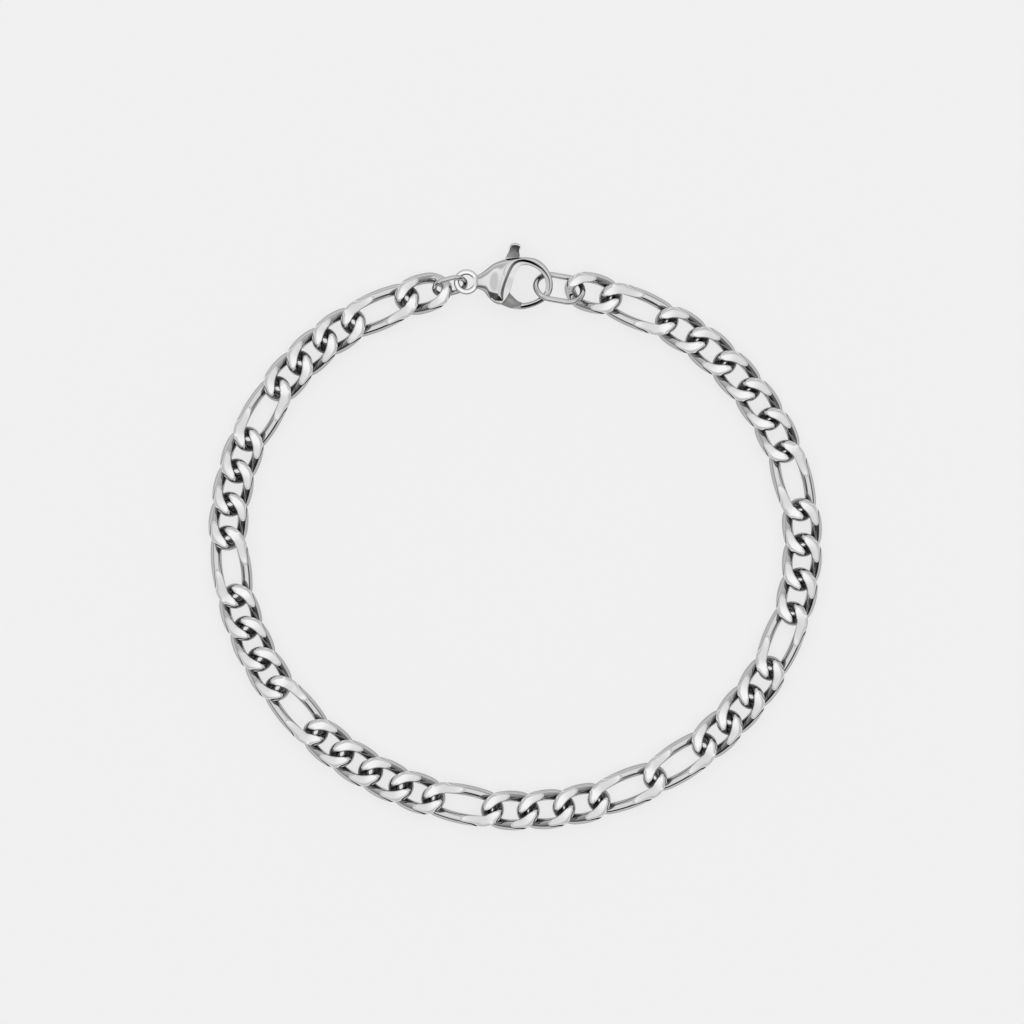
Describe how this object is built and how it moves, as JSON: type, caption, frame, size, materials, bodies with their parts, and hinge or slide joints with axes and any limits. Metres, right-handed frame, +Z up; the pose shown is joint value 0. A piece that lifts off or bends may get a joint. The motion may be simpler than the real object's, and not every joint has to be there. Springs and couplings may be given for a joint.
{
  "type": "link bracelet",
  "caption": "Flat-ground chain bracelet of short and long links lying as a closed loop, fastened by a lobster clasp with a sprung lever, a jump ring and a small end ring.",
  "frame": {"origin": "middle of the outline of the bracelet as it lies, on the surface under it", "axes": "+Z up from the surface, +Y from the middle of the loop to the clasp, +X the way the clasp's hook points"},
  "size_m": [0.0754, 0.0722, 0.0032],
  "materials": {
    "chain": "polished, with ground flat faces",
    "clasp": "polished",
    "rings": "polished wire",
    "lever": "finely brushed"
  },
  "bodies": {
    "bracelet": {"clasp_body": "clasp", "clasp_pin": "lever", "jump_ring": "rings", "end_ring": "rings", "link_01": "chain", "link_02": "chain", "link_03": "chain", "link_04": "chain", "link_05": "chain", "link_06": "chain", "link_07": "chain", "link_08": "chain", "link_09": "chain", "link_10": "chain", "link_11": "chain", "link_12": "chain", "link_13": "chain", "link_14": "chain", "link_15": "chain", "link_16": "chain", "link_17": "chain", "link_18": "chain", "link_19": "chain", "link_20": "chain", "link_21": "chain", "link_22": "chain", "link_23": "chain", "link_24": "chain", "link_25": "chain", "link_26": "chain", "link_27": "chain", "link_28": "chain", "link_29": "chain", "link_30": "chain", "link_31": "chain", "link_32": "chain", "link_33": "chain", "link_34": "chain", "link_35": "chain", "link_36": "chain", "link_37": "chain", "link_38": "chain", "link_39": "chain"},
    "lever": {"clasp_lever": "lever"}
  },
  "joints": [
    {"name": "lever_hinge", "type": "hinge", "parent": "bracelet", "child": "lever", "pos_m": [-0.00122, 0.03204, 0.0016], "axis": [0, 0, 1], "range_deg": [0, 25], "stiffness_Nm_per_rad": 0.0046, "springref_deg": -11.46}
  ]
}
